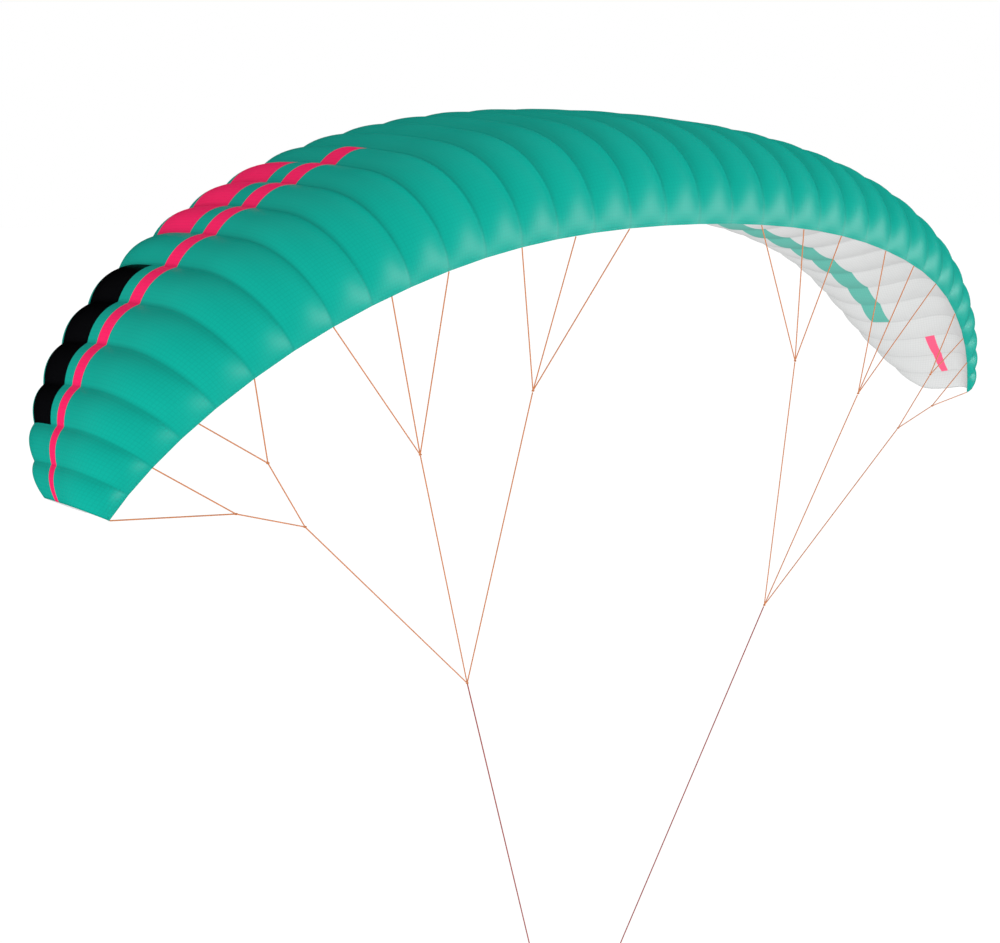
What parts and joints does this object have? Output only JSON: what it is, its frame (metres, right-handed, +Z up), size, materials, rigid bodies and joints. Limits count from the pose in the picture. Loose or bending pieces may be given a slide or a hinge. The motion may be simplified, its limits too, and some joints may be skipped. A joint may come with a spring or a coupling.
{
  "type": "paraglider wing",
  "caption": "Inflated paraglider wing in flight: billowed teal upper skin, pale lower skin, air intakes under the nose and cascaded brake lines.",
  "frame": {"origin": "crest of the centre rib, on top of the upper skin", "axes": "+X towards the wing's right tip as flown, +Y the way it flies, +Z up"},
  "size_m": [8.7512, 2.1754, 6.7507],
  "materials": {
    "upper_skin": "coated ripstop, semi-gloss",
    "lower_skin": "coated ripstop, semi-gloss",
    "ribs": "coated ripstop, matt",
    "brake_lines": "braided cord",
    "main_lines": "braided cord"
  },
  "bodies": {
    "root": {"upper_skin": "upper_skin", "lower_skin": "lower_skin", "rib_centre": "ribs", "rib_left_01": "ribs", "rib_left_02": "ribs", "rib_left_03": "ribs", "rib_left_04": "ribs", "rib_left_05": "ribs", "rib_left_06": "ribs", "rib_left_07": "ribs", "rib_left_08": "ribs", "rib_left_09": "ribs", "rib_left_10": "ribs", "rib_left_11": "ribs", "rib_left_12": "ribs", "rib_left_13": "ribs", "rib_left_14": "ribs", "rib_left_15": "ribs", "rib_left_16": "ribs", "rib_left_17": "ribs", "rib_right_01": "ribs", "rib_right_02": "ribs", "rib_right_03": "ribs", "rib_right_04": "ribs", "rib_right_05": "ribs", "rib_right_06": "ribs", "rib_right_07": "ribs", "rib_right_08": "ribs", "rib_right_09": "ribs", "rib_right_10": "ribs", "rib_right_11": "ribs", "rib_right_12": "ribs", "rib_right_13": "ribs", "rib_right_14": "ribs", "rib_right_15": "ribs", "rib_right_16": "ribs", "rib_right_17": "ribs", "left_brake_fan_1": "brake_lines", "left_brake_fan_2": "brake_lines", "left_brake_fan_3a": "brake_lines", "left_brake_fan_3b": "brake_lines", "left_brake_link": "brake_lines", "left_brake_middle": "brake_lines", "left_brake_main": "main_lines", "right_brake_fan_1": "brake_lines", "right_brake_fan_2": "brake_lines", "right_brake_fan_3a": "brake_lines", "right_brake_fan_3b": "brake_lines", "right_brake_link": "brake_lines", "right_brake_middle": "brake_lines", "right_brake_main": "main_lines"}
  },
  "joints": []
}
